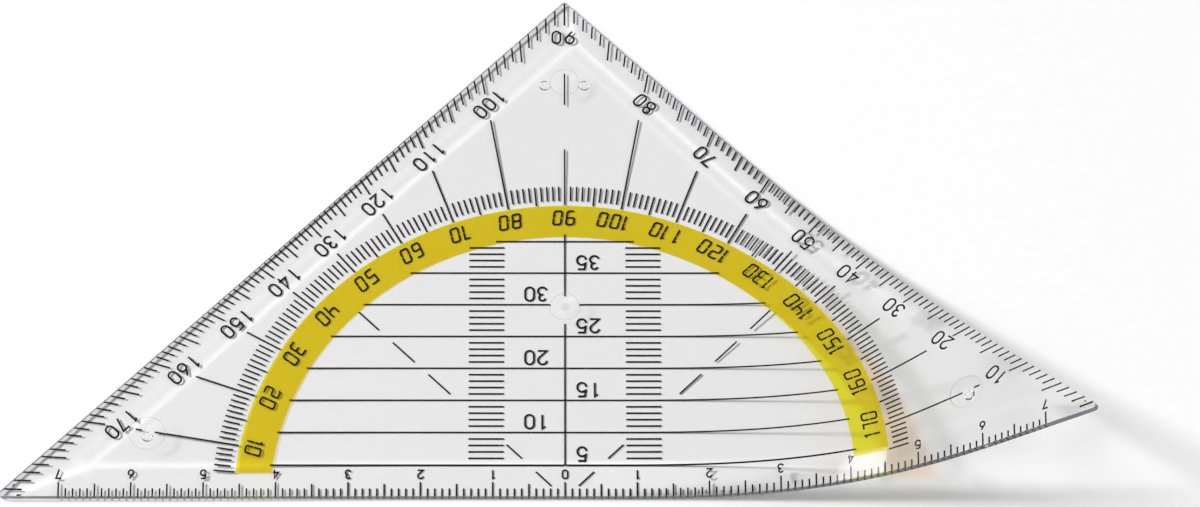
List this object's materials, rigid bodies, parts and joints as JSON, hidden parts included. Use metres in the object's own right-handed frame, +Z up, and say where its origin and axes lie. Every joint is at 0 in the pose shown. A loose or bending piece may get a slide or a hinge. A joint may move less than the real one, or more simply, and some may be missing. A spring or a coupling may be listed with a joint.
{
  "type": "protractor set square",
  "caption": "Clear flexible right-angled set square with a millimetre edge scale, degree scales on its legs, a yellow protractor arc and parallel rulings; one corner flexed up.",
  "frame": {"origin": "zero mark of the millimetre scale, at the lower edge of the measuring edge's wall", "axes": "+X along the measuring edge towards the flexed corner, +Y towards the right angle, +Z up out of the smooth top face"},
  "size_m": [0.1503, 0.0786, 0.0252],
  "materials": {
    "clear_plastic": "clear moulded plastic, polished",
    "yellow_print": "screen printed translucent yellow ink",
    "black_print": "screen printed black ink"
  },
  "bodies": {
    "root": {"clear_plate": "clear_plastic", "yellow_band": "yellow_print", "edge_scale": "black_print", "left_leg_scale": "black_print", "right_leg_scale": "black_print", "arc_scale": "black_print", "radial_lines": "black_print", "left_rulings": "black_print", "right_rulings": "black_print", "centre_line": "black_print", "left_mm_column": "black_print", "right_mm_column": "black_print", "diagonal_dashes": "black_print"}
  },
  "joints": []
}
